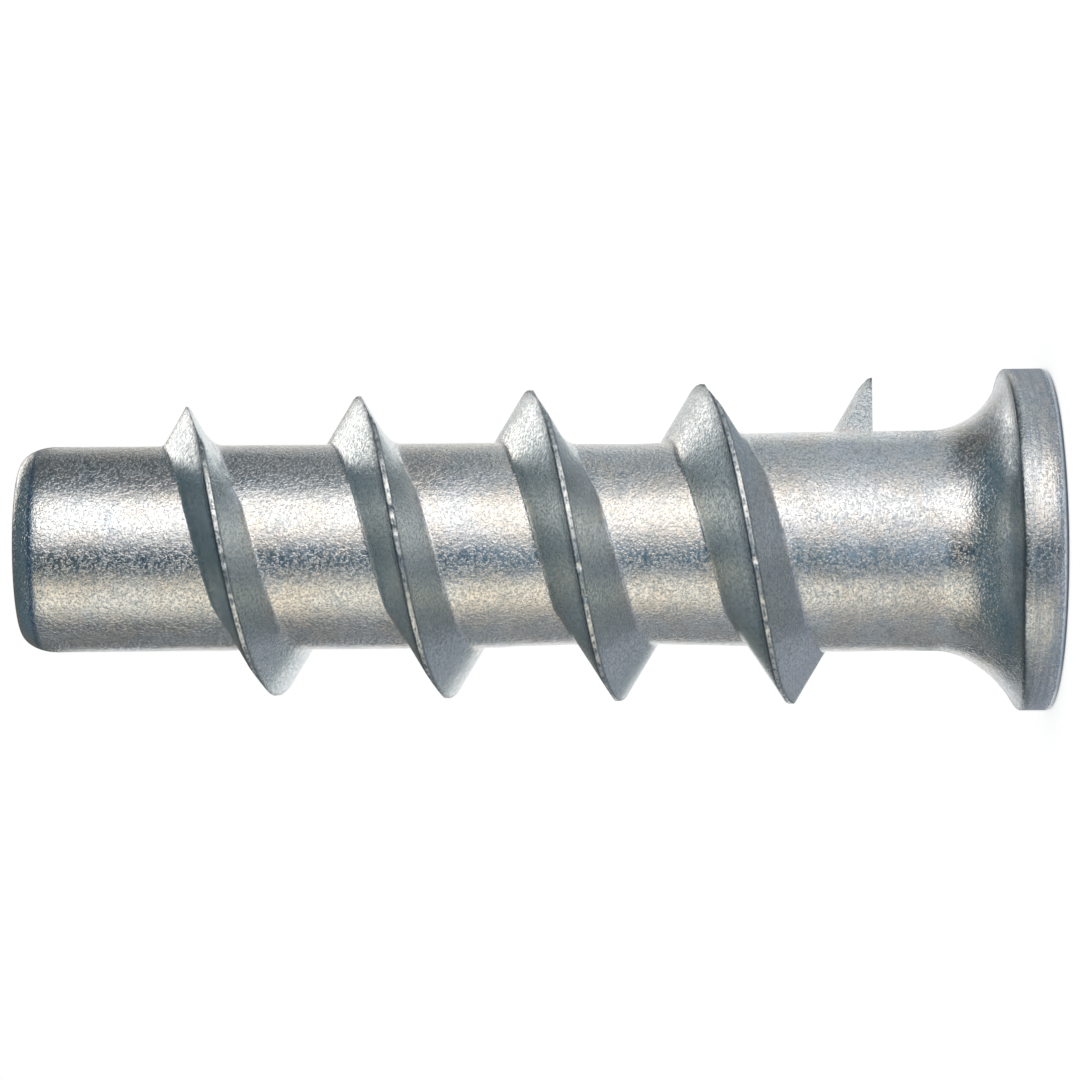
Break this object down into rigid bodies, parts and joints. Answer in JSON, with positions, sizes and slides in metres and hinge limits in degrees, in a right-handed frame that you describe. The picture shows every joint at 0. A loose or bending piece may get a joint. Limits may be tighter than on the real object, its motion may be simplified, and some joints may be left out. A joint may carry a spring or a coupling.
{
  "type": "aerated concrete anchor",
  "caption": "Screw-in anchor for aerated concrete: a cast shank with a coarse helical flight, a round flange and a threaded hole for a bolt.",
  "frame": {"origin": "centre of the flange's outer face, which the anchor stands on", "axes": "+Z along the anchor from the flange to the tip; the parting plane of the casting is the XZ plane, and the flight starts at +X"},
  "size_m": [0.02, 0.02, 0.06],
  "materials": {
    "zinc": "bare die-cast zinc alloy, as cast, satin with fine grain and grey stains"
  },
  "bodies": {
    "root": {"anchor": "zinc"}
  },
  "joints": []
}
